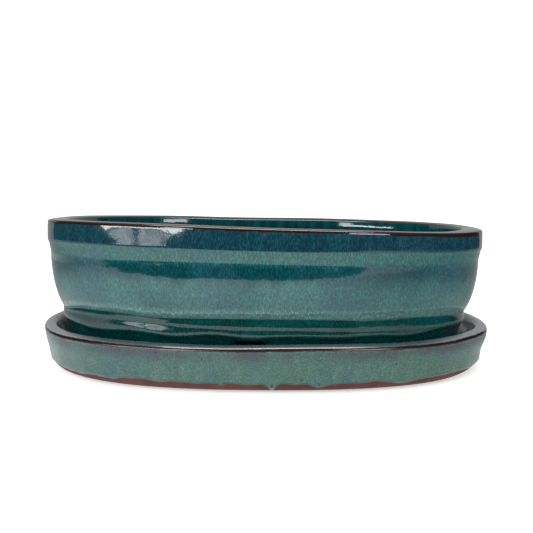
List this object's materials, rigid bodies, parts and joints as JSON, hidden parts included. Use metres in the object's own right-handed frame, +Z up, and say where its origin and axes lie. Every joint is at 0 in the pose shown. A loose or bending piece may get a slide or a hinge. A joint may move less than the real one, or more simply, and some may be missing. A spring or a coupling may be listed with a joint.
{
  "type": "bonsai pot with drip tray",
  "caption": "Low oval glazed stoneware planter with a plain rim band, a moulded foot ring and drain holes, lifting out of a matching oval drip tray.",
  "frame": {"origin": "on the table, under the middle of the drip tray", "axes": "+Z up, +X along the pot's length, -Y towards the front"},
  "size_m": [0.314, 0.238, 0.1016],
  "materials": {
    "pot_glaze": "gloss, streaked blue-green over sage",
    "tray_glaze": "gloss, mottled celadon over red-brown clay"
  },
  "bodies": {
    "tray": {"drip_tray": "tray_glaze"},
    "pot": {"pot": "pot_glaze"}
  },
  "joints": [
    {"name": "pot_lift", "type": "slide", "parent": "tray", "child": "pot", "axis": [0, 0, 1], "range_m": [0, 0.15]}
  ]
}
